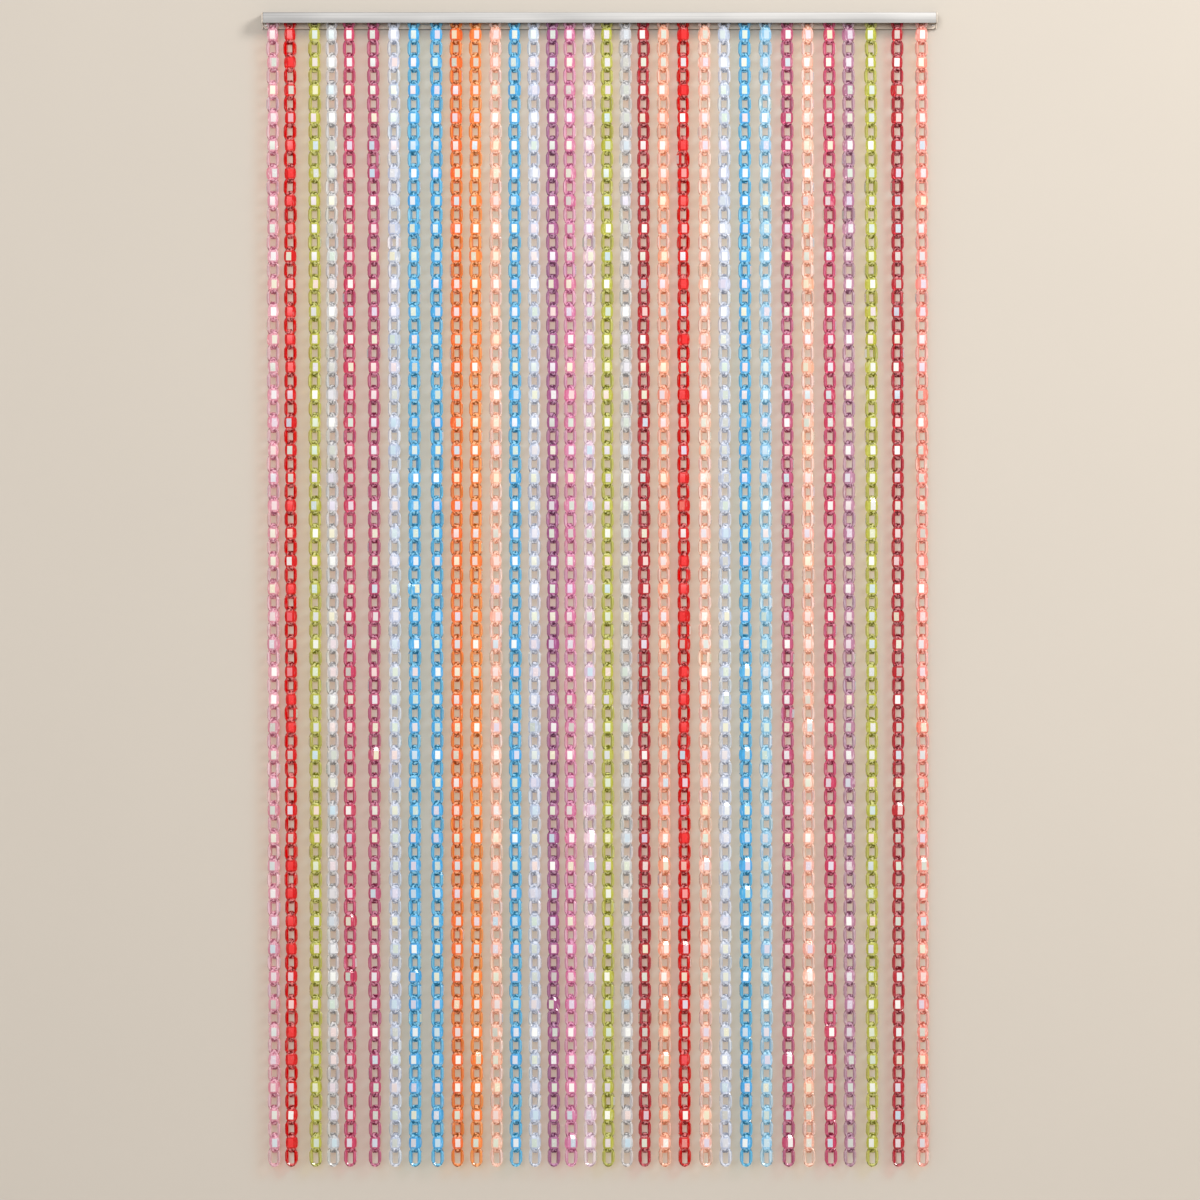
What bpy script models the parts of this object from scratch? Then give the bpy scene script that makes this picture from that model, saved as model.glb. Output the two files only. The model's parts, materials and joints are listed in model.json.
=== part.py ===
"""Bead curtain with rail: strands of oval plastic chain links hung from a short aluminium channel.

Metres, +Z up. The origin is the centre of the rail's flat back, which goes against the wall. The
curtain hangs towards -Z, +X is to the right for someone who faces it, and -Y points at them.
"""
import math
from collections import namedtuple

import bpy

MM = 0.001
GAP = 0.3 * MM                  # between pieces that touch

# Rail: an aluminium channel, open below
RAIL_LENGTH = 1053 * MM         # with its end caps
RAIL_HEIGHT = 16.4 * MM
RAIL_DEPTH = 30 * MM
RAIL_WALL = 1.6 * MM
RAIL_CORNER = 1.6 * MM          # rounding of the two outer top edges
CAP_THICKNESS = 1.5 * MM

# Clear strip inside the channel, which carries the strands and shows below the rail
CARRIER_THICKNESS = 3 * MM
CARRIER_REACH = 24.2 * MM       # from the rail's top to the strip's lower edge
CARRIER_CORNER = 4.5 * MM
RIVET_RADIUS = 1.5 * MM
RIVET_HEAD = 1.2 * MM
RIVET_FROM_END = 4.2 * MM
RIVET_DROP = 18.6 * MM          # below the rail's top

# Chain: each link turns a quarter turn from the next one
DROP = 1800 * MM                # from the rail's top to the tip of the last link
LINK_WIDTH = 19.6 * MM          # across the oval
LINK_LENGTH = 32.4 * MM
LINK_PITCH = 21.6 * MM          # from one link's centre to the next
LINKS = 82                      # whole links below the hanger

# One strand's solid: three-sided, with a ring at each link that faces front and one between
SIDES = 3
WAIST_WIDTH = 13.4 * MM         # between two front-facing links
TIP_WIDTH = 11 * MM
NECK_WIDTH = 8 * MM             # under the hanger
HANGER_DEPTH = 22.3 * MM        # front to back, held between the strip and the rail's front
HANGER_HEIGHT = 12.3 * MM
LEAN = 2.6 * MM                 # how far each strand's foot hangs to the right of its top

RAIL_TOP = RAIL_HEIGHT / 2
INSIDE_TOP = RAIL_TOP - RAIL_WALL - GAP
CARRIER_BACK = -(RAIL_WALL + GAP)
CARRIER_FRONT = CARRIER_BACK - CARRIER_THICKNESS
SPAN = RAIL_LENGTH - 2 * (CAP_THICKNESS + GAP)

# Colours, linear
PALETTE = {
    "rose": (0.60, 0.22, 0.29),
    "red": (0.62, 0.02, 0.03),
    "lime": (0.43, 0.48, 0.04),
    "crystal": (0.62, 0.54, 0.52),
    "raspberry": (0.40, 0.03, 0.10),
    "mauve": (0.42, 0.09, 0.22),
    "ice": (0.50, 0.53, 0.62),
    "sky": (0.08, 0.38, 0.66),
    "orange": (0.80, 0.17, 0.03),
    "amber": (0.84, 0.25, 0.07),
    "peach": (0.80, 0.44, 0.30),
    "plum": (0.26, 0.07, 0.20),
    "pink": (0.60, 0.18, 0.30),
    "blush": (0.64, 0.42, 0.45),
    "ruby": (0.42, 0.02, 0.04),
    "apricot": (0.80, 0.30, 0.16),
    "azure": (0.24, 0.46, 0.66),
    "violet": (0.34, 0.12, 0.32),
    "coral": (0.78, 0.24, 0.17),
}
ALUMINIUM = (0.68, 0.67, 0.66)
CLEAR = (0.52, 0.44, 0.34)
STEEL = (0.30, 0.29, 0.28)

# Each strand from left to right: its colour, and how far it hangs from the one before it, in
# millimetres. The first is measured from the rail's left end.
Strand = namedtuple("Strand", "colour step")
STRANDS = [Strand(*row) for row in (
    ("rose", 18), ("red", 27), ("lime", 38), ("crystal", 27), ("raspberry", 27), ("mauve", 38),
    ("ice", 32), ("sky", 31), ("sky", 35), ("orange", 31), ("amber", 30), ("peach", 31),
    ("sky", 30), ("ice", 30), ("plum", 29), ("pink", 27), ("blush", 30), ("lime", 28),
    ("crystal", 29), ("ruby", 28), ("apricot", 31), ("red", 31), ("peach", 33), ("ice", 31),
    ("sky", 32), ("azure", 32), ("mauve", 34), ("peach", 32), ("raspberry", 34), ("violet", 30),
    ("lime", 35), ("ruby", 41), ("coral", 38),
)]


def clear_scene():
    for obj in list(bpy.data.objects):
        bpy.data.objects.remove(obj, do_unlink=True)


def finish(name, colour, roughness, metallic=0.0):
    """A Principled material, made once for each name."""
    if name in bpy.data.materials:
        return bpy.data.materials[name]
    material = bpy.data.materials.new(name)
    material.use_nodes = True
    shader = material.node_tree.nodes["Principled BSDF"]
    shader.inputs["Base Color"].default_value = (*colour, 1)
    shader.inputs["Roughness"].default_value = roughness
    shader.inputs["Metallic"].default_value = metallic
    return material


def keep(collection, name, data, material):
    """An object in the curtain's collection, with its material."""
    data.materials.append(material)
    obj = bpy.data.objects.new(name, data)
    collection.objects.link(obj)
    return obj


def plate(collection, name, outline, thickness, material):
    """A flat piece of this outline, thickness along its local Z, centred on it."""
    curve = bpy.data.curves.new(name, "CURVE")
    curve.dimensions = "2D"
    curve.fill_mode = "BOTH"
    curve.extrude = thickness / 2
    spline = curve.splines.new("POLY")
    spline.points.add(len(outline) - 1)
    for point, (x, y) in zip(spline.points, outline):
        point.co = (x, y, 0, 1)
    spline.use_cyclic_u = True
    return keep(collection, name, curve, material)


def arc(centre, radius, start, end, steps=4):
    """Points of a round corner, from one angle in degrees to another."""
    angles = [math.radians(start + (end - start) * i / steps) for i in range(steps + 1)]
    return [(centre[0] + radius * math.cos(a), centre[1] + radius * math.sin(a)) for a in angles]


def top_edges():
    """The rail's top edge from its back corner to its front corner, in its section's (y, z)."""
    r = RAIL_CORNER
    back = arc((-r, RAIL_TOP - r), r, 0, 90)
    front = arc((-RAIL_DEPTH + r, RAIL_TOP - r), r, 90, 180)
    return back + front


def add_rail(collection):
    """The channel: a back wall against the wall, a top and the front that shows."""
    foot, inside = -RAIL_TOP, RAIL_TOP - RAIL_WALL
    outline = [(0, foot)] + top_edges() + [
        (-RAIL_DEPTH, foot), (-RAIL_DEPTH + RAIL_WALL, foot), (-RAIL_DEPTH + RAIL_WALL, inside),
        (-RAIL_WALL, inside), (-RAIL_WALL, foot)]
    rail = plate(collection, "rail", outline, SPAN, finish("aluminium", ALUMINIUM, 0.32, 1.0))
    rail.rotation_euler = (math.pi / 2, 0, math.pi / 2)


def add_end_caps(collection):
    """A cap on each end, which also covers the end of the clear strip."""
    foot, low = -RAIL_TOP, RAIL_TOP - CARRIER_REACH
    outline = [(0, low)] + top_edges() + [(-RAIL_DEPTH, foot), (CARRIER_FRONT - GAP, foot),
                                          (CARRIER_FRONT - GAP, low)]
    for name, side in (("end_cap_left", -1), ("end_cap_right", 1)):
        cap = plate(collection, name, outline, CAP_THICKNESS, finish("clear", CLEAR, 0.15))
        cap.rotation_euler = (math.pi / 2, 0, math.pi / 2)
        cap.location.x = side * (RAIL_LENGTH - CAP_THICKNESS) / 2


def add_carrier(collection):
    """The clear strip against the channel's back wall, with round lower corners."""
    half, low, r = SPAN / 2, RAIL_TOP - CARRIER_REACH, CARRIER_CORNER
    outline = ([(half, INSIDE_TOP), (-half, INSIDE_TOP)] + arc((-half + r, low + r), r, 180, 270)
               + arc((half - r, low + r), r, 270, 360))
    strip = plate(collection, "carrier_strip", outline, CARRIER_THICKNESS, finish("clear", CLEAR, 0.15))
    strip.rotation_euler = (math.pi / 2, 0, 0)
    strip.location.y = (CARRIER_BACK + CARRIER_FRONT) / 2


def add_rivets(collection):
    """A rivet head near each end of the clear strip."""
    for name, side in (("rivet_left", -1), ("rivet_right", 1)):
        place = (side * (SPAN / 2 - RIVET_FROM_END), CARRIER_FRONT - GAP - RIVET_HEAD / 2,
                 RAIL_TOP - RIVET_DROP)
        bpy.ops.mesh.primitive_cylinder_add(vertices=16, radius=RIVET_RADIUS, depth=RIVET_HEAD,
                                            location=place, rotation=(math.pi / 2, 0, 0))
        rivet = bpy.context.object
        rivet.name = rivet.data.name = name
        rivet.data.materials.append(finish("steel", STEEL, 0.3, 1.0))
        bevel = rivet.modifiers.new("Rounded", "BEVEL")
        bevel.width = RIVET_HEAD / 4
        bevel.segments = 1
        for other in list(rivet.users_collection):
            other.objects.unlink(rivet)
        collection.objects.link(rivet)


def corner_radius(width):
    """Radius of a three-sided ring of this width, seen from the front."""
    return width / 2 / math.cos(math.pi / 6)


def strand_profile():
    """(radius, height) of each ring of a strand, top to bottom, with the height at the rail's back
    centre as 0. The hanger comes first, and the last ring is the tip of the last link."""
    hanger_radius = HANGER_DEPTH / (1 + math.sin(math.pi / 6))
    hanger_foot = INSIDE_TOP - HANGER_HEIGHT
    rings = [(hanger_radius, INSIDE_TOP), (hanger_radius, hanger_foot),
             (corner_radius(NECK_WIDTH), hanger_foot - GAP)]
    tip = RAIL_TOP - DROP
    last_centre = tip + LINK_LENGTH / 2
    for link in reversed(range(LINKS)):
        faces_front = link % 2 == 0
        width = LINK_WIDTH if faces_front else WAIST_WIDTH
        rings.append((corner_radius(width), last_centre + link * LINK_PITCH))
    rings.append((corner_radius(TIP_WIDTH), tip))
    return rings


def add_strands(collection):
    """The strands. Their rings have one corner to the front and a flat side to the wall."""
    rings = strand_profile()
    axis_y = CARRIER_FRONT - GAP - rings[0][0] * math.sin(math.pi / 6)
    points = [(0, 0, rings[0][1])] + [(0, -radius, z) for radius, z in rings] + [(0, 0, rings[-1][1])]
    edges = [(i, i + 1) for i in range(len(points) - 1)]
    x = -RAIL_LENGTH / 2
    for number, strand in enumerate(STRANDS, start=1):
        x += strand.step * MM
        name = f"strand_{number:02d}"
        mesh = bpy.data.meshes.new(name)
        mesh.from_pydata(points, edges, [])
        obj = keep(collection, name, mesh, finish(strand.colour, PALETTE[strand.colour], 0.12))
        obj.location = (x, axis_y, 0)
        obj.rotation_euler.y = -math.atan(LEAN / DROP)
        turn = obj.modifiers.new("Turned", "SCREW")
        turn.steps = turn.render_steps = SIDES
        turn.use_merge_vertices = True
        turn.merge_threshold = 0.1 * GAP
        turn.use_smooth_shade = False


def main():
    clear_scene()
    collection = bpy.data.collections.new("bead_curtain")
    bpy.context.scene.collection.children.link(collection)
    add_rail(collection)
    add_carrier(collection)
    add_end_caps(collection)
    add_rivets(collection)
    add_strands(collection)


main()
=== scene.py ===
# Bead curtain: strands of translucent oval chain links that hang from a short aluminium channel rail
import json
import math
import random

import bpy
import numpy as np
from mathutils import Euler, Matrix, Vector


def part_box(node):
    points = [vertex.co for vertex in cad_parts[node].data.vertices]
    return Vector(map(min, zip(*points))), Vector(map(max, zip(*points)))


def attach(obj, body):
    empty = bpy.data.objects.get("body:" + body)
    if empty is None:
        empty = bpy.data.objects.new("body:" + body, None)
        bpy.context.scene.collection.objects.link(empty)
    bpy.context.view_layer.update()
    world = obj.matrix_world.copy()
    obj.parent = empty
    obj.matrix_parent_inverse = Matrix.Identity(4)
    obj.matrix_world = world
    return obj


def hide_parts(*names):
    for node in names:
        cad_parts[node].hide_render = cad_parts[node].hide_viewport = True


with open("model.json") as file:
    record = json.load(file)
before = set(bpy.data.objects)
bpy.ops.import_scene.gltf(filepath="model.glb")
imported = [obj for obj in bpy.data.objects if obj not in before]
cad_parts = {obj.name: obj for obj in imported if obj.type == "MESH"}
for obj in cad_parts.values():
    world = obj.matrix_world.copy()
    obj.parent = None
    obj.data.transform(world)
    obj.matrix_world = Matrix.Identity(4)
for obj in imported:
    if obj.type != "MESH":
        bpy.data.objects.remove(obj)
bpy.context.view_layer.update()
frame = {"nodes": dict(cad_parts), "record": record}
mm = 0.001
near = 0.1 * mm  # an edge or face this close to a plane counts as on it


def deselectAll():
    if bpy.context.object and bpy.context.object.mode != "OBJECT":
        bpy.ops.object.mode_set(mode="OBJECT")
    bpy.ops.object.select_all(action="DESELECT")


def activate(obj):
    deselectAll()
    obj.select_set(True)
    bpy.context.view_layer.objects.active = obj


def applyPlace(obj):
    activate(obj)
    bpy.ops.object.transform_apply(location=True, rotation=True, scale=True)


def applyModifiers(obj):
    activate(obj)
    for modifier in list(obj.modifiers):
        bpy.ops.object.modifier_apply(modifier=modifier.name)


def addThickness(obj, thickness, offset):
    wall = obj.modifiers.new("Wall", "SOLIDIFY")
    wall.thickness, wall.offset = thickness, offset


def softenEdges(obj, width, segments):
    soft = obj.modifiers.new("Soft edges", "BEVEL")
    soft.width, soft.segments, soft.limit_method = width, segments, "ANGLE"
    applyModifiers(obj)


def smoothSurface(obj, degrees):
    activate(obj)
    bpy.ops.object.shade_smooth_by_angle(angle=math.radians(degrees))


def newPiece(name):
    obj = bpy.context.object
    obj.name = obj.data.name = name
    return obj


def pick(obj, kind, test):
    # selects the vertices, edges or faces whose middle passes the test, in edit mode
    bpy.ops.object.mode_set(mode="EDIT")
    bpy.ops.mesh.select_mode(type=kind)
    bpy.ops.mesh.select_all(action="DESELECT")
    bpy.ops.object.mode_set(mode="OBJECT")
    mesh = obj.data
    if kind == "FACE":
        for face in mesh.polygons:
            face.select = test(face.center)
    elif kind == "EDGE":
        for edge in mesh.edges:
            a, b = (mesh.vertices[i].co for i in edge.vertices)
            edge.select = test((a + b) / 2)
    else:
        for vert in mesh.vertices:
            vert.select = test(vert.co)
    bpy.ops.object.mode_set(mode="EDIT")


def everything(at):
    return True


def finishPiece(obj, node, materials):
    # its materials in their slots, the node it stands for, and the body it moves with
    while len(obj.data.materials) < len(materials):
        obj.data.materials.append(None)
    for place, material in enumerate(materials):
        obj.data.materials[place] = material
    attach(obj, "root")
    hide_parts(node)


# Shader maths

class Wire:
    # a socket that takes + and * as Math nodes
    def __init__(self, tree, socket):
        self.tree, self.socket = tree, socket

    def math(self, operation, first, second):
        node = self.tree.nodes.new("ShaderNodeMath")
        node.operation = operation
        for place, value in enumerate((first, second)):
            if isinstance(value, Wire):
                self.tree.links.new(value.socket, node.inputs[place])
            else:
                node.inputs[place].default_value = value
        return Wire(self.tree, node.outputs[0])

    def __add__(self, other):
        return self.math("ADD", self, other)

    def __radd__(self, other):
        return self.math("ADD", other, self)

    def __mul__(self, other):
        return self.math("MULTIPLY", self, other)

    def __rmul__(self, other):
        return self.math("MULTIPLY", other, self)


class Finish:
    # one material and its Principled shader
    def __init__(self, name):
        self.material = bpy.data.materials.new(name)
        self.material.use_nodes = True
        self.tree = self.material.node_tree
        self.shader = self.tree.nodes["Principled BSDF"]

    def node(self, kind, settings=None, **sockets):
        node = self.tree.nodes.new(kind)
        for key, value in (settings or {}).items():
            if key == "stops":
                self.setStops(node.color_ramp, value)
            else:
                setattr(node, key, value)
        for key, value in sockets.items():
            self.feed(node.inputs[key.replace("_", " ")], value)
        return node

    def setStops(self, ramp, stops):
        while len(ramp.elements) < len(stops):
            ramp.elements.new(0.5)
        for element, (place, colour) in zip(ramp.elements, stops):
            element.position, element.color = place, (*colour, 1)

    def feed(self, socket, value):
        if isinstance(value, Wire):
            self.tree.links.new(value.socket, socket)
        else:
            socket.default_value = value

    def wire(self, node, output=0):
        return Wire(self.tree, node.outputs[output])

    def sockets(self, **values):
        # constants and links alike, on the Principled shader itself
        for key, value in values.items():
            self.feed(self.shader.inputs[key.replace("_", " ")], value)

    def noise(self, grain, detail, stretch=(1, 1, 1)):
        coords = self.node("ShaderNodeTexCoord")
        spot = self.node("ShaderNodeMapping", Vector=self.wire(coords, "Object"), Scale=stretch)
        return self.wire(self.node("ShaderNodeTexNoise", Vector=self.wire(spot), Scale=grain, Detail=detail))

    def between(self, value, low, high):
        # 0 up to low, 1 from high
        return self.wire(self.node("ShaderNodeMapRange", Value=value, From_Min=low, From_Max=high))

    def ramp(self, value, stops):
        return self.wire(self.node("ShaderNodeValToRGB", {"stops": stops}, Fac=value))

    def mix(self, factor, first, second):
        node = self.node("ShaderNodeMix", {"data_type": "RGBA", "clamp_factor": True})
        self.feed(node.inputs[0], factor)
        self.feed(node.inputs[6], first if isinstance(first, Wire) else (*first, 1))
        self.feed(node.inputs[7], second if isinstance(second, Wire) else (*second, 1))
        return self.wire(node, 2)

    def attribute(self, name):
        return self.wire(self.node("ShaderNodeAttribute", {"attribute_name": name}), "Fac")

    def bump(self, height, strength, distance):
        return self.wire(self.node("ShaderNodeBump", Height=height, Strength=strength, Distance=distance))

    def clearWhere(self, factor, colour):
        # lets light straight through, tinted with this colour, where the factor is 1
        clear = self.node("ShaderNodeBsdfTransparent", Color=(*colour, 1))
        choice = self.node("ShaderNodeMixShader", Fac=factor)
        self.tree.links.new(self.shader.outputs[0], choice.inputs[1])
        self.tree.links.new(clear.outputs[0], choice.inputs[2])
        out = self.tree.nodes["Material Output"]
        self.tree.links.new(choice.outputs[0], out.inputs["Surface"])


# Rail, strip and caps

railSizes = {
    "wall": 1.6 * mm, "lip": 0.5 * mm, "lipSegments": 3, "gap": 0.3 * mm,
    "stripCorner": 4.5 * mm, "stripCornerSegments": 6, "stripRound": 0.35 * mm,
    "capRound": 0.4 * mm, "roundSegments": 2, "smooth": 35,
}
aluminiumLook = {
    "drawn": (2, 450, 450), "drawnDetail": 5.0, "drawnShare": 0.6,  # long fine lines along the rail
    "cloud": (5, 40, 40), "cloudDetail": 2.0,
    "tones": [(0.35, (0.215, 0.214, 0.215)), (0.65, (0.36, 0.358, 0.356))],
    "roughness": 0.5, "roughnessSpread": 0.16, "bump": 0.25, "bumpDepth": 0.2 * mm,
}
clearLook = {
    "ripple": (12, 60, 60), "grain": 1.5, "detail": 2.0,
    "tones": [(0.3, (0.60, 0.51, 0.42)), (0.7, (0.76, 0.69, 0.61))],
    "transmission": 0.4, "ior": 1.49, "specular": 0.3,
    "roughness": 0.25, "roughnessSpread": 0.15, "bump": 0.1, "bumpDepth": 0.4 * mm,
}
steelLook = {
    "grain": (900, 900, 900), "detail": 3.0, "dark": (0.35, 0.34, 0.34), "light": (0.55, 0.54, 0.53),
    "roughness": 0.2, "roughnessSpread": 0.2,
}


def aluminiumFinish():
    values = aluminiumLook
    look = Finish("brushed aluminium")
    lines = look.noise(1.0, values["drawnDetail"], values["drawn"])
    clouds = look.noise(1.0, values["cloudDetail"], values["cloud"])
    tone = look.ramp(lines * values["drawnShare"] + clouds * (1 - values["drawnShare"]), values["tones"])
    look.sockets(Metallic=1.0, Base_Color=tone)
    look.sockets(Roughness=lines * values["roughnessSpread"] + values["roughness"])
    look.sockets(Normal=look.bump(lines, values["bump"], values["bumpDepth"]))
    return look.material


def clearFinish():
    values = clearLook
    look = Finish("clear strip plastic")
    ripple = look.noise(values["grain"], values["detail"], values["ripple"])
    look.sockets(Transmission_Weight=values["transmission"], IOR=values["ior"])
    look.sockets(Specular_IOR_Level=values["specular"], Base_Color=look.ramp(ripple, values["tones"]))
    look.sockets(Roughness=ripple * values["roughnessSpread"] + values["roughness"])
    look.sockets(Normal=look.bump(ripple, values["bump"], values["bumpDepth"]))
    return look.material


def steelFinish():
    values = steelLook
    look = Finish("rivet steel")
    marks = look.noise(1.0, values["detail"], values["grain"])
    look.sockets(Metallic=1.0, Base_Color=look.mix(marks, values["dark"], values["light"]))
    look.sockets(Roughness=marks * values["roughnessSpread"] + values["roughness"])
    return look.material


def modelRail(material):
    # a bent sheet: the top, with the front and the back drawn down from its long edges
    low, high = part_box("rail")
    size, middle = high - low, (low + high) / 2
    deselectAll()
    bpy.ops.mesh.primitive_plane_add(size=1, location=(middle.x, middle.y, high.z))
    rail = newPiece("railChannel")
    rail.scale = (size.x, size.y, 1)
    applyPlace(rail)
    for side in (low.y, high.y):
        pick(rail, "EDGE", lambda at: abs(at.y - side) < near and at.z > high.z - near)
        bpy.ops.mesh.extrude_region_move(TRANSFORM_OT_translate={"value": (0, 0, -size.z)})
    deselectAll()
    addThickness(rail, railSizes["wall"], -1)
    softenEdges(rail, railSizes["lip"], railSizes["lipSegments"])
    smoothSurface(rail, railSizes["smooth"])
    finishPiece(rail, "rail", [material])


def modelStrip(material):
    # the clear strip, a flat cut with two round lower corners
    low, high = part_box("carrier_strip")
    size, middle = high - low, (low + high) / 2
    deselectAll()
    bpy.ops.mesh.primitive_plane_add(size=1, location=middle, rotation=(math.pi / 2, 0, 0))
    strip = newPiece("clearStrip")
    strip.scale = (size.x, size.z, 1)
    applyPlace(strip)
    pick(strip, "VERT", lambda at: at.z < middle.z)
    corner, segments = railSizes["stripCorner"], railSizes["stripCornerSegments"]
    bpy.ops.mesh.bevel(offset=corner, segments=segments, affect="VERTICES")
    deselectAll()
    addThickness(strip, size.y, 0)
    softenEdges(strip, railSizes["stripRound"], railSizes["roundSegments"])
    smoothSurface(strip, railSizes["smooth"])
    finishPiece(strip, "carrier_strip", [material])


def modelCap(node, material):
    # the rail's section as a thin plate, drawn down behind to cover the strip's end
    low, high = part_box(node)
    railLow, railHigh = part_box("rail")
    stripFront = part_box("carrier_strip")[0].y - railSizes["gap"]
    middle = (low + high) / 2
    deselectAll()
    bpy.ops.mesh.primitive_plane_add(size=1, location=(middle.x, middle.y, (railLow.z + railHigh.z) / 2),
                                     rotation=(0, math.pi / 2, 0))
    cap = newPiece("endCapLeft" if middle.x < 0 else "endCapRight")
    cap.scale = (railHigh.z - railLow.z, high.y - low.y, 1)
    applyPlace(cap)
    pick(cap, "FACE", everything)
    bpy.ops.mesh.bisect(plane_co=(0, stripFront, 0), plane_no=(0, 1, 0))
    pick(cap, "EDGE", lambda at: at.z < railLow.z + near and at.y > stripFront)
    bpy.ops.mesh.extrude_region_move(TRANSFORM_OT_translate={"value": (0, 0, low.z - railLow.z)})
    deselectAll()
    addThickness(cap, high.x - low.x, 0)
    softenEdges(cap, railSizes["capRound"], railSizes["roundSegments"])
    smoothSurface(cap, railSizes["smooth"])
    finishPiece(cap, node, [material])


rivetSizes = {"sides": 24, "round": 0.45 * mm, "roundSegments": 3}


def modelRivet(node, material):
    # a low round head
    low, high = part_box(node)
    size, middle = high - low, (low + high) / 2
    deselectAll()
    bpy.ops.mesh.primitive_cylinder_add(vertices=rivetSizes["sides"], radius=size.x / 2, depth=size.y,
                                        location=middle, rotation=(math.pi / 2, 0, 0))
    rivet = newPiece("rivetLeft" if middle.x < 0 else "rivetRight")
    applyPlace(rivet)
    pick(rivet, "FACE", lambda at: at.y < low.y + near)
    bpy.ops.mesh.bevel(offset=rivetSizes["round"], segments=rivetSizes["roundSegments"], affect="EDGES")
    deselectAll()
    smoothSurface(rivet, railSizes["smooth"])
    finishPiece(rivet, node, [material])


# Links

linkSizes = {
    "corners": 16, "length": 32.4 * mm, "smooth": 20,
    # outer x and z, hole x and z, and front to back at the ridge, the outer flat and the hole, in mm
    "ring": [
        (9.8, 0.0, 4.5, 0.0, 16.8, 7.9, 8.0),    # the middle of a side
        (9.55, 6.5, 4.5, 6.0, 15.6, 7.9, 8.0),
        (7.2, 12.2, 4.4, 9.8, 10.2, 7.2, 6.6),
        (3.9, 15.1, 2.3, 10.9, 8.5, 6.8, 6.2),
        (0.0, 16.2, 0.0, 10.9, 8.5, 6.8, 6.2)],  # the middle of an end
    # each loop: its depth in the wall, 0 outside and 1 at the hole, its breadth's column, and its side
    "loops": [(0, 5, -1), (0, 5, 1), (0.5, 4, 1), (1, 6, 1), (1, 6, -1), (0.5, 4, -1)],
    # where the painted shade and glints of crossing links start towards a link's ends, and over what height
    "endStart": 7.4 * mm, "endHeight": 4.8 * mm,
    # how far a loop takes the ends' painted shade and glints and the edges' painted rim shade, by its depth
    # in the wall
    "deep": {0: 1.0, 0.5: 0.25, 1: 1.0}, "edge": {0: 0.75, 0.5: 0.0, 1: 1.0},
    # painted rim shade: the links that face sideways take at least this much of it
    "sideRimShade": 0.82,  # the least rich colour on the links that face sideways
}


def shapeLoop(link, loop, depth, breadthColumn, side):
    # moves one loop to its depth in the wall and to its side of the link
    corners = linkSizes["corners"]
    for corner in range(corners):
        row = linkSizes["ring"][abs(corners // 4 - corner % (corners // 2))]
        x, z = (row[i] + (row[i + 2] - row[i]) * depth for i in (0, 1))
        angle = 2 * math.pi * corner / corners
        spot = link.data.vertices[loop * corners + corner].co
        spot.x = -math.copysign(x, round(math.sin(angle), 3)) * mm
        spot.z = math.copysign(z, round(math.cos(angle), 3)) * mm
        spot.y = side * row[breadthColumn] / 2 * mm


def modelLink():
    # a ring of sixteen corners, drawn over the outer flat, a ridge, the hole and the other ridge
    deselectAll()
    bpy.ops.mesh.primitive_circle_add(vertices=linkSizes["corners"], radius=linkSizes["length"] / 2,
                                      fill_type="NOTHING", rotation=(math.pi / 2, 0, 0))
    link = newPiece("link")
    applyPlace(link)
    bpy.ops.object.mode_set(mode="EDIT")
    bpy.ops.mesh.select_mode(type="EDGE")
    bpy.ops.mesh.select_all(action="SELECT")
    for _ in linkSizes["loops"][1:]:
        bpy.ops.mesh.extrude_region_move(TRANSFORM_OT_translate={"value": (0, mm, 0)})
    bpy.ops.mesh.select_all(action="DESELECT")
    bpy.ops.mesh.select_non_manifold()
    bpy.ops.mesh.bridge_edge_loops()
    deselectAll()
    for loop, (depth, column, side) in enumerate(linkSizes["loops"]):
        shapeLoop(link, loop, depth, column, side)
    pick(link, "FACE", everything)
    bpy.ops.mesh.normals_make_consistent(inside=False)
    deselectAll()
    smoothSurface(link, linkSizes["smooth"])
    return link


hangerSizes = {
    "centreZ": -4.4 * mm, "cutZ": 1.5 * mm, "top": 6.2 * mm, "bevel": 0.8 * mm,
    "blocks": {"yoke": (18.4 * mm, 9.0 * mm, 4.6 * mm), "boss": (6.0 * mm, 15.0 * mm, 2.6 * mm)},
}


def modelHanger(link):
    # the lower half of a link that faces front, with a yoke on top that the channel holds
    size = hangerSizes
    activate(link)
    bpy.ops.object.duplicate()
    half = newPiece("hanger")
    half.location.z = size["centreZ"]
    applyPlace(half)
    pick(half, "FACE", everything)
    bpy.ops.mesh.bisect(plane_co=(0, 0, size["cutZ"]), plane_no=(0, 0, 1), clear_outer=True, use_fill=True)
    deselectAll()
    for part, (x, y, z) in size["blocks"].items():
        bpy.ops.mesh.primitive_cube_add(size=1, location=(0, 0, size["top"] - z / 2))
        block = newPiece(part)
        block.scale = (x, y, z)
        applyPlace(block)
        pick(block, "FACE", everything)
        bpy.ops.mesh.bevel(offset=size["bevel"], segments=1, affect="EDGES")
        activate(half)
        block.select_set(True)
        bpy.ops.object.join()
    return half


def markPanels(link):
    # the flat outer faces of the two straight sides take the second material, the film of painted
    # reflections, and the ends of the oval, where links cross, are marked for painted shade and glints; each
    # loop is marked for its painted rim shade
    size = linkSizes
    outside = size["ring"][1][0] * mm
    for place in ("plastic", "reflectionFilm"):
        link.data.materials.append(bpy.data.materials.new(place))
    for face in link.data.polygons:
        face.material_index = int(abs(face.center.x) > outside)
    for name in ("deep", "edge"):
        link.data.attributes.new(name, "FLOAT", "POINT")
    deep, edge = (link.data.attributes[name].data for name in ("deep", "edge"))
    for number, vert in enumerate(link.data.vertices):
        depth = size["loops"][number // size["corners"]][0]
        end = min(max((abs(vert.co.z) - size["endStart"]) / size["endHeight"], 0), 1)
        # painted shade and glints where links cross, growing towards the ends
        deep[number].value = end * size["deep"][depth]
        # painted rim shade: most at the hole, less on the outer flat, none on the ridges, which keep a
        # painted highlight
        edge[number].value = size["edge"][depth]


# Chains

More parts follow.
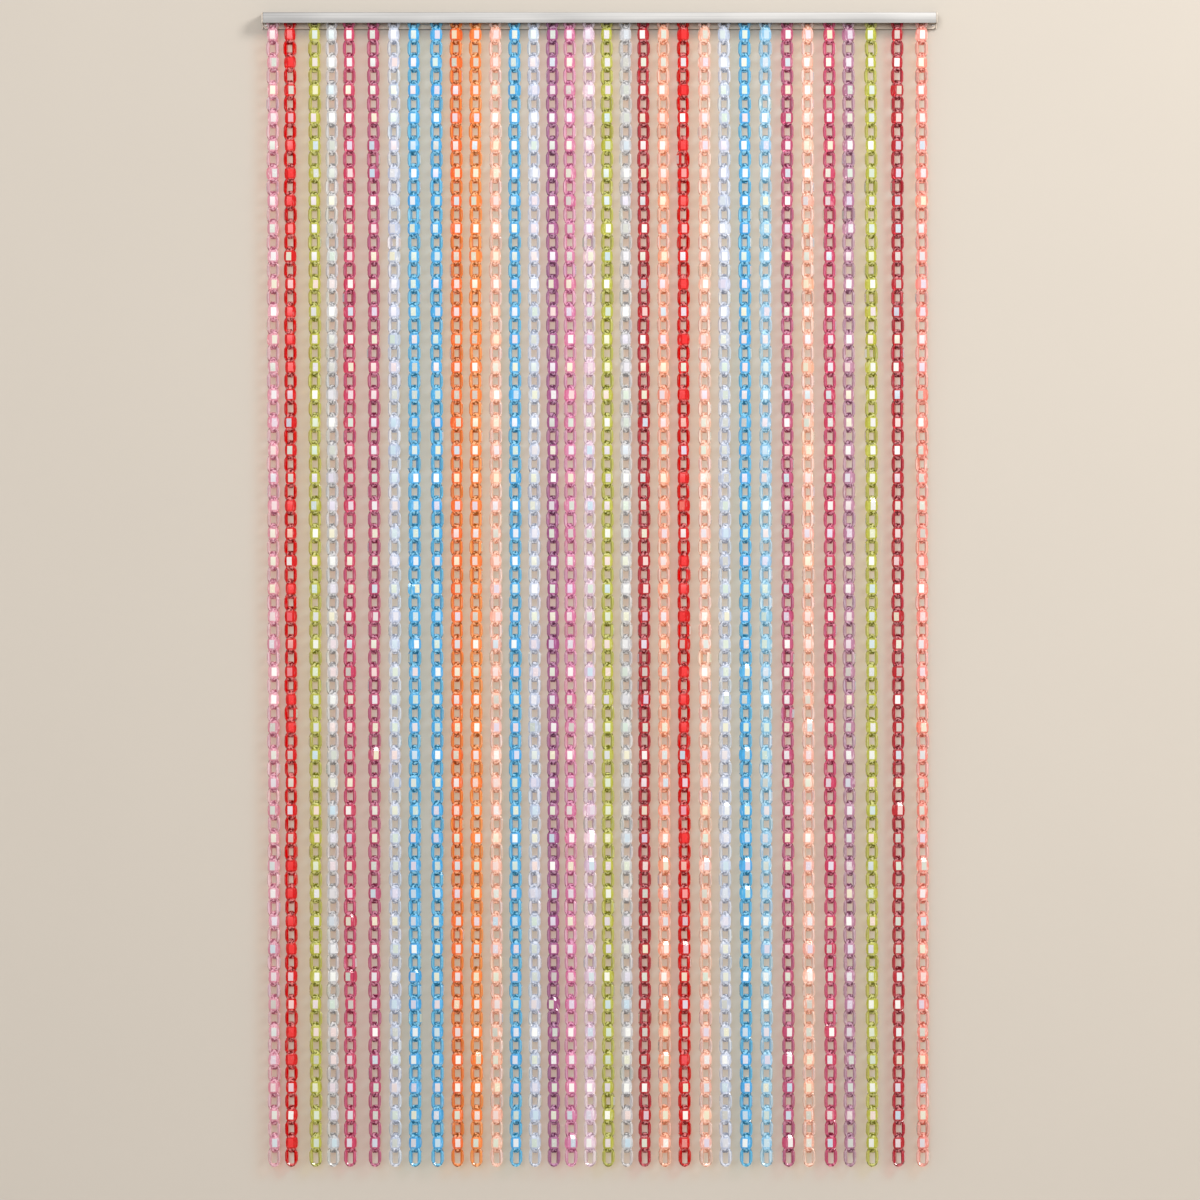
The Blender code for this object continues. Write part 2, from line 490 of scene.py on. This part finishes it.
chainSizes = {
    "pitch": 21.6 * mm, "links": 82, "drop": 1800 * mm, "lift": 0.1 * mm, "depth": -15.5 * mm,
    "lean": 2.6 * mm,                # how far the foot hangs to the right of the top
    "turn": 6.0, "tip": 0.7,         # how loosely each link hangs, in degrees
    "twist": 7.0, "twistWaves": 3,   # slow turns along the whole chain, in degrees
    "drift": 0.15 * mm, "seed": 11,
    "hangerTone": 0.5, "hangerHue": 0.2,
}


def modelChain():
    # two links a quarter turn apart, as many pairs as the curtain is long, and the hanger
    size = chainSizes
    link = modelLink()
    markPanels(link)
    hanger = modelHanger(link)
    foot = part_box("rail")[1].z - size["drop"] + size["lift"]
    link.location.z = foot + linkSizes["length"] / 2
    applyPlace(link)
    bpy.ops.object.duplicate()
    turned = bpy.context.object
    turned.rotation_euler.z = math.pi / 2
    turned.location.z = size["pitch"]
    applyPlace(turned)
    # the links that face sideways get deeper painted rim shade
    for spot in turned.data.attributes["edge"].data:
        spot.value = max(spot.value, linkSizes["sideRimShade"])
    link.select_set(True)
    bpy.context.view_layer.objects.active = link
    bpy.ops.object.join()
    rows = link.modifiers.new("Rows", "ARRAY")
    rows.count = size["links"] // 2
    rows.use_relative_offset, rows.use_constant_offset = False, True
    rows.constant_offset_displace = (0, 0, 2 * size["pitch"])
    applyModifiers(link)
    linkPoints = len(link.data.vertices) // size["links"]
    hanger.select_set(True)
    bpy.ops.object.join()
    return newPiece("chain"), linkPoints


def hangLoosely(chain, linkPoints, x, draws):
    # each link hangs a little turned and tipped in its neighbours, and the whole chain leans
    mesh, size = chain.data, chainSizes
    spots = np.empty(len(mesh.vertices) * 3)
    mesh.vertices.foreach_get("co", spots)
    spots = spots.reshape(-1, 3)
    tone, hue = (np.full(len(spots), size[name]) for name in ("hangerTone", "hangerHue"))
    waves = [(draws.uniform(-1, 1), draws.uniform(0, 2 * math.pi)) for _ in range(size["twistWaves"])]
    for number in range(size["links"]):
        rows = slice(number * linkPoints, (number + 1) * linkPoints)
        place = number / size["links"]
        slow = sum(a * math.sin((i + 1) * math.pi * place + b) for i, (a, b) in enumerate(waves))
        turn = math.radians(size["twist"] * slow + draws.gauss(0, size["turn"]))
        tip = [math.radians(draws.gauss(0, size["tip"])) for _ in range(2)]
        spin = np.array(Euler((*tip, turn)).to_matrix())
        middle = spots[rows].mean(axis=0)
        shift = (draws.gauss(0, size["drift"]), draws.gauss(0, size["drift"]), 0)
        spots[rows] = (spots[rows] - middle) @ spin.T + middle + shift
        tone[rows], hue[rows] = draws.random(), draws.random()
    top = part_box("rail")[1].z
    spots[:, 0] += x + size["lean"] * (top - spots[:, 2]) / size["drop"]
    spots[:, 1] += size["depth"]
    mesh.vertices.foreach_set("co", spots.ravel())
    for name, values in (("linkTone", tone), ("linkHue", hue)):
        mesh.attributes.new(name, "FLOAT", "POINT").data.foreach_set("value", values)
    mesh.update()


linkColours = {  # colour of the plastic, how much it tints the film's painted reflections, how pale its ridges are painted as a highlight
    "rose": ((0.64, 0.27, 0.39), 0.05, 0.42), "red": ((0.60, 0.002, 0.003), 2.0, 0.0),
    "lime": ((0.45, 0.46, 0.025), 0.05, 0.12), "crystal": ((0.54, 0.55, 0.58), 0.05, 0.36),
    "raspberry": ((0.55, 0.03, 0.17), 0.03, 0.09), "mauve": ((0.47, 0.06, 0.21), 0.05, 0.11),
    "ice": ((0.56, 0.62, 0.75), 0.05, 0.4), "sky": ((0.06, 0.49, 0.76), 0.03, 0.11),
    "orange": ((0.78, 0.25, 0.012), 0.15, 0.05), "amber": ((0.82, 0.34, 0.05), 0.15, 0.07),
    "peach": ((0.85, 0.52, 0.40), 0.08, 0.5), "plum": ((0.36, 0.09, 0.28), 0.05, 0.12),
    "pink": ((0.62, 0.17, 0.40), 0.08, 0.32), "blush": ((0.69, 0.54, 0.67), 0.05, 0.5),
    "ruby": ((0.45, 0.004, 0.035), 0.20, 0.03), "apricot": ((0.84, 0.41, 0.25), 0.10, 0.42),
    "azure": ((0.30, 0.60, 0.79), 0.10, 0.42), "violet": ((0.40, 0.16, 0.30), 0.08, 0.3),
    "coral": ((0.80, 0.29, 0.22), 0.10, 0.34),
}
plasticLook = {
    "transmission": 0.5, "ior": 1.49, "specular": 0.1, "coat": 0.22, "coatRoughness": 0.03,
    "roughness": 0.06, "roughnessSpread": 0.06, "bump": 0.15, "bumpDepth": 0.4 * mm,
    "cloudGrain": 160, "cloudDetail": 2.0, "cloudShare": 0.1, "fineDetail": 1.0,
    "toneShare": 0.4, "toneLeast": 0.8,               # how far one link is deeper than the next
    "rimShadePower": 1.6, "rimShadeShare": 0.9,
    "shadeGlintGrain": 260, "shadeGlintRange": (0.44, 0.58),    # painted shade and painted glints, in specks where links cross
    "crossingShadePower": 1.4, "crossingShadeDark": 0.3, "crossingShadePale": 0.6, "glint": 0.8, "glintLeast": 0.25,
    "pearlShare": 0.6,
    # thin white streaks: painted highlights along the rims
    "highlightStreakGrain": 420, "highlightStreakStretch": (1, 1, 0.22), "highlightStreakRange": (0.58, 0.66),
    "highlightStreakLeast": 0.12, "highlightStreakWhite": (0.88, 0.88, 0.88),
    "crossingShadeRange": (0.12, 0.6),
    "shadow": (0.93, 0.87, 0.795), "shadowTint": 0.025,
}
# the film on the flat outer faces: its pale colours are painted reflections
reflectionFilmLook = {
    "transmission": 0.1, "specular": 0.2, "roughness": 0.18, "roughnessSpread": 0.15, "bump": 0.1,
    "ownShare": 1.1, "cloudShare": 0.04, "ownColour": 0.85, "ownLeast": 0.02,
    "reflectionTints": [  # one painted reflection colour for each link, drawn at random
        (0.0, (0.65, 0.66, 0.64)), (0.12, (0.53, 0.55, 0.54)), (0.28, (0.44, 0.42, 0.51)),
        (0.42, (0.54, 0.44, 0.42)), (0.58, (0.34, 0.45, 0.53)), (0.72, (0.53, 0.51, 0.39)),
        (0.86, (0.40, 0.48, 0.43)), (1.0, (0.36, 0.35, 0.33))],
}


def letLightThrough(look, colour):
    # lamps shine through the tinted body, so that its shadow on a wall is pale and coloured
    top, power = max(colour), plasticLook["shadowTint"]
    tint = [s * (c / top) ** power for s, c in zip(plasticLook["shadow"], colour)]
    look.clearWhere(look.wire(look.node("ShaderNodeLightPath"), "Is Shadow Ray"), tint)


def plasticFinish(name):
    # painted highlights on the ridges, painted rim shade on the edges, painted shade and glints in specks
    # where links cross, and thin streaks of painted highlight
    colour, _, pale = linkColours[name]
    values, top = plasticLook, max(colour)
    look = Finish(name + " plastic")
    look.sockets(Transmission_Weight=values["transmission"], IOR=values["ior"])
    look.sockets(Specular_IOR_Level=values["specular"])
    look.sockets(Coat_Weight=values["coat"], Coat_Roughness=values["coatRoughness"])
    tone, hue, edge = (look.attribute(each) for each in ("linkTone", "linkHue", "edge"))
    cloud = look.noise(values["cloudGrain"], values["cloudDetail"])
    deepening = tone * values["toneShare"] + values["toneLeast"]
    # painted rim shade towards the edges, deeper on some links than others at random
    edge = edge * edge * deepening + cloud * values["cloudShare"]
    rimShadeColour = [(c / top) ** values["rimShadePower"] * top * values["rimShadeShare"] for c in colour]
    # the ridges take the plastic's colour paled as a painted highlight, the edges the painted rim shade
    body = look.mix(edge, [c + (1 - c) * pale for c in colour], rimShadeColour)
    # the pale links' body takes part of the same painted reflection tints, drawn per link
    body = look.mix(pale * values["pearlShare"], body, look.ramp(hue, reflectionFilmLook["reflectionTints"]))
    # thin white streaks of painted highlight, stronger on pale plastic
    drawn = look.noise(values["highlightStreakGrain"], values["fineDetail"], values["highlightStreakStretch"])
    highlightStreak = look.between(drawn, *values["highlightStreakRange"]) * (values["highlightStreakLeast"] + pale)
    body = look.mix(highlightStreak, body, values["highlightStreakWhite"])
    # painted shade and painted glints in fine specks at the link ends where links cross
    fine = look.noise(values["shadeGlintGrain"], values["fineDetail"])
    shadeGlintSpecks = look.between(fine, *values["shadeGlintRange"])
    crossingShadeDepth = values["crossingShadeDark"] + pale * values["crossingShadePale"]
    dark = [c ** values["crossingShadePower"] * crossingShadeDepth for c in colour]
    glintColour = [min(c * values["glint"] + values["glintLeast"], 1) for c in colour]
    crossingShadeMask = look.between(look.attribute("deep"), *values["crossingShadeRange"])
    look.sockets(Base_Color=look.mix(crossingShadeMask, body, look.mix(shadeGlintSpecks, dark, glintColour)))
    look.sockets(Roughness=cloud * values["roughnessSpread"] + values["roughness"])
    look.sockets(Normal=look.bump(cloud, values["bump"], values["bumpDepth"]))
    letLightThrough(look, colour)
    return look.material


def reflectionFilmFinish(name):
    # a film of painted reflections, in another pale colour on each link, with some of the plastic's own
    colour, share, _ = linkColours[name]
    values = reflectionFilmLook
    look = Finish(name + " film")
    look.sockets(Transmission_Weight=values["transmission"], IOR=plasticLook["ior"])
    look.sockets(Specular_IOR_Level=values["specular"])
    tone, hue = look.attribute("linkTone"), look.attribute("linkHue")
    cloud = look.noise(plasticLook["cloudGrain"], plasticLook["cloudDetail"])
    own = [c * values["ownColour"] + values["ownLeast"] for c in colour]
    part = tone * tone * (share * values["ownShare"]) + cloud * values["cloudShare"]
    # painted reflections in pale tints, one per link, mixed with some of the plastic's own colour
    look.sockets(Base_Color=look.mix(part, look.ramp(hue, values["reflectionTints"]), own))
    look.sockets(Roughness=cloud * values["roughnessSpread"] + values["roughness"])
    look.sockets(Normal=look.bump(cloud, values["bump"], plasticLook["bumpDepth"]))
    letLightThrough(look, colour)
    return look.material


def hangChains():
    master, linkPoints = modelChain()
    draws = random.Random(chainSizes["seed"])
    slots = {part["node"]: part["material_slot"] for part in frame["record"]["subparts"]}
    finishes = {}
    strands = sorted(node for node in frame["nodes"] if node.startswith("strand_"))
    for node in strands:
        slotName = slots[node]
        colour = slotName.removeprefix("link_")
        if colour not in finishes:
            finishes[colour] = [plasticFinish(colour), reflectionFilmFinish(colour)]
        low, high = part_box(node)
        chain = master.copy()
        chain.data = master.data.copy()
        chain.name = chain.data.name = node.replace("strand", "chain")
        bpy.context.scene.collection.objects.link(chain)
        hangLoosely(chain, linkPoints, (low.x + high.x - chainSizes["lean"]) / 2, draws)
        finishPiece(chain, node, finishes[colour])
    bpy.data.objects.remove(master, do_unlink=True)
    print("chains hung", len(strands))


# Studio

studio = {
    "camera": (0.0008, -12.0, -0.9075), "frameWidth": 1.872, "sensor": 36.0, "farthest": 100,
    "room": 9.0, "wallY": 1.5 * mm, "floorZ": -1.9,
    "wallColour": (0.372, 0.343, 0.307), "wallRoughness": 0.9, "wallMottle": (3.0, 4.0, 0.015),
    "floorColour": (0.47, 0.44, 0.40), "floorRoughness": 0.8, "floorMottle": (2.0, 3.0, 0.02),
    "world": 0.79, "worldColour": (1.0, 0.98, 0.95),
    "key": {"place": (3.2, -3.6, 2.2), "size": 1.6, "power": 270, "colour": (1.0, 0.97, 0.93)},
    "front": {"place": (-1.9, -12.5, 2.2), "size": 4.0, "power": 1060, "colour": (1.0, 0.99, 0.98)},
    "aim": (0, 0, -0.9),
}


def paint(name, colour, roughness, mottle):
    grain, detail, spread = mottle
    look = Finish(name)
    tones = [[c * (1 + side * spread) for c in colour] for side in (-1, 1)]
    look.sockets(Roughness=roughness, Base_Color=look.mix(look.noise(grain, detail), *tones))
    return look


def addPlane(name, size, place, turn, material):
    deselectAll()
    bpy.ops.mesh.primitive_plane_add(size=size, location=place, rotation=(turn, 0, 0))
    plane = newPiece(name)
    applyPlace(plane)
    plane.data.materials.append(material)
    return plane


def addRoom():
    # the wall is seen from the front only, so that the curtain shows from behind too
    values, size = studio, studio["room"]
    look = paint("wall paint", values["wallColour"], values["wallRoughness"], values["wallMottle"])
    look.clearWhere(look.wire(look.node("ShaderNodeNewGeometry"), "Backfacing"), (1, 1, 1))
    middle = (0, values["wallY"], values["floorZ"] + size / 2)
    wall = addPlane("wall", size, middle, math.pi / 2, look.material)
    look = paint("floor paint", values["floorColour"], values["floorRoughness"], values["floorMottle"])
    floor = addPlane("floor", 2 * size, (0, 0, values["floorZ"]), 0, look.material)
    world = bpy.data.worlds.new("soft white room")
    world.use_nodes = True
    background = world.node_tree.nodes["Background"]
    background.inputs["Color"].default_value = (*values["worldColour"], 1)
    background.inputs["Strength"].default_value = values["world"]
    bpy.context.scene.world = world


def addLight(name):
    values = studio[name]
    data = bpy.data.lights.new(name, "AREA")
    data.energy, data.size, data.color = values["power"], values["size"], values["colour"]
    lamp = bpy.data.objects.new(name, data)
    bpy.context.scene.collection.objects.link(lamp)
    lamp.location = values["place"]
    lamp.rotation_euler = (Vector(studio["aim"]) - lamp.location).to_track_quat("-Z", "Y").to_euler()
    lamp.visible_camera = False


def addCamera():
    # level, square to the curtain, and as wide at the chains' depth as the photo is
    data = bpy.data.cameras.new("camera")
    camera = bpy.data.objects.new("camera", data)
    bpy.context.scene.collection.objects.link(camera)
    camera.location = studio["camera"]
    camera.rotation_euler = (math.pi / 2, 0, 0)
    away = chainSizes["depth"] - studio["camera"][1]
    data.sensor_width = studio["sensor"]
    data.lens = studio["sensor"] * away / studio["frameWidth"]
    data.clip_end = studio["farthest"]
    bpy.context.scene.camera = camera


aluminium, clearPlastic, steel = aluminiumFinish(), clearFinish(), steelFinish()
modelRail(aluminium)
modelStrip(clearPlastic)
for side in ("left", "right"):
    modelCap("end_cap_" + side, clearPlastic)
    modelRivet("rivet_" + side, steel)
print("rail and strip modelled")
hangChains()
addRoom()
addLight("key")
addLight("front")
addCamera()
bpy.context.scene.view_settings.view_transform = "Standard"
print("studio set")
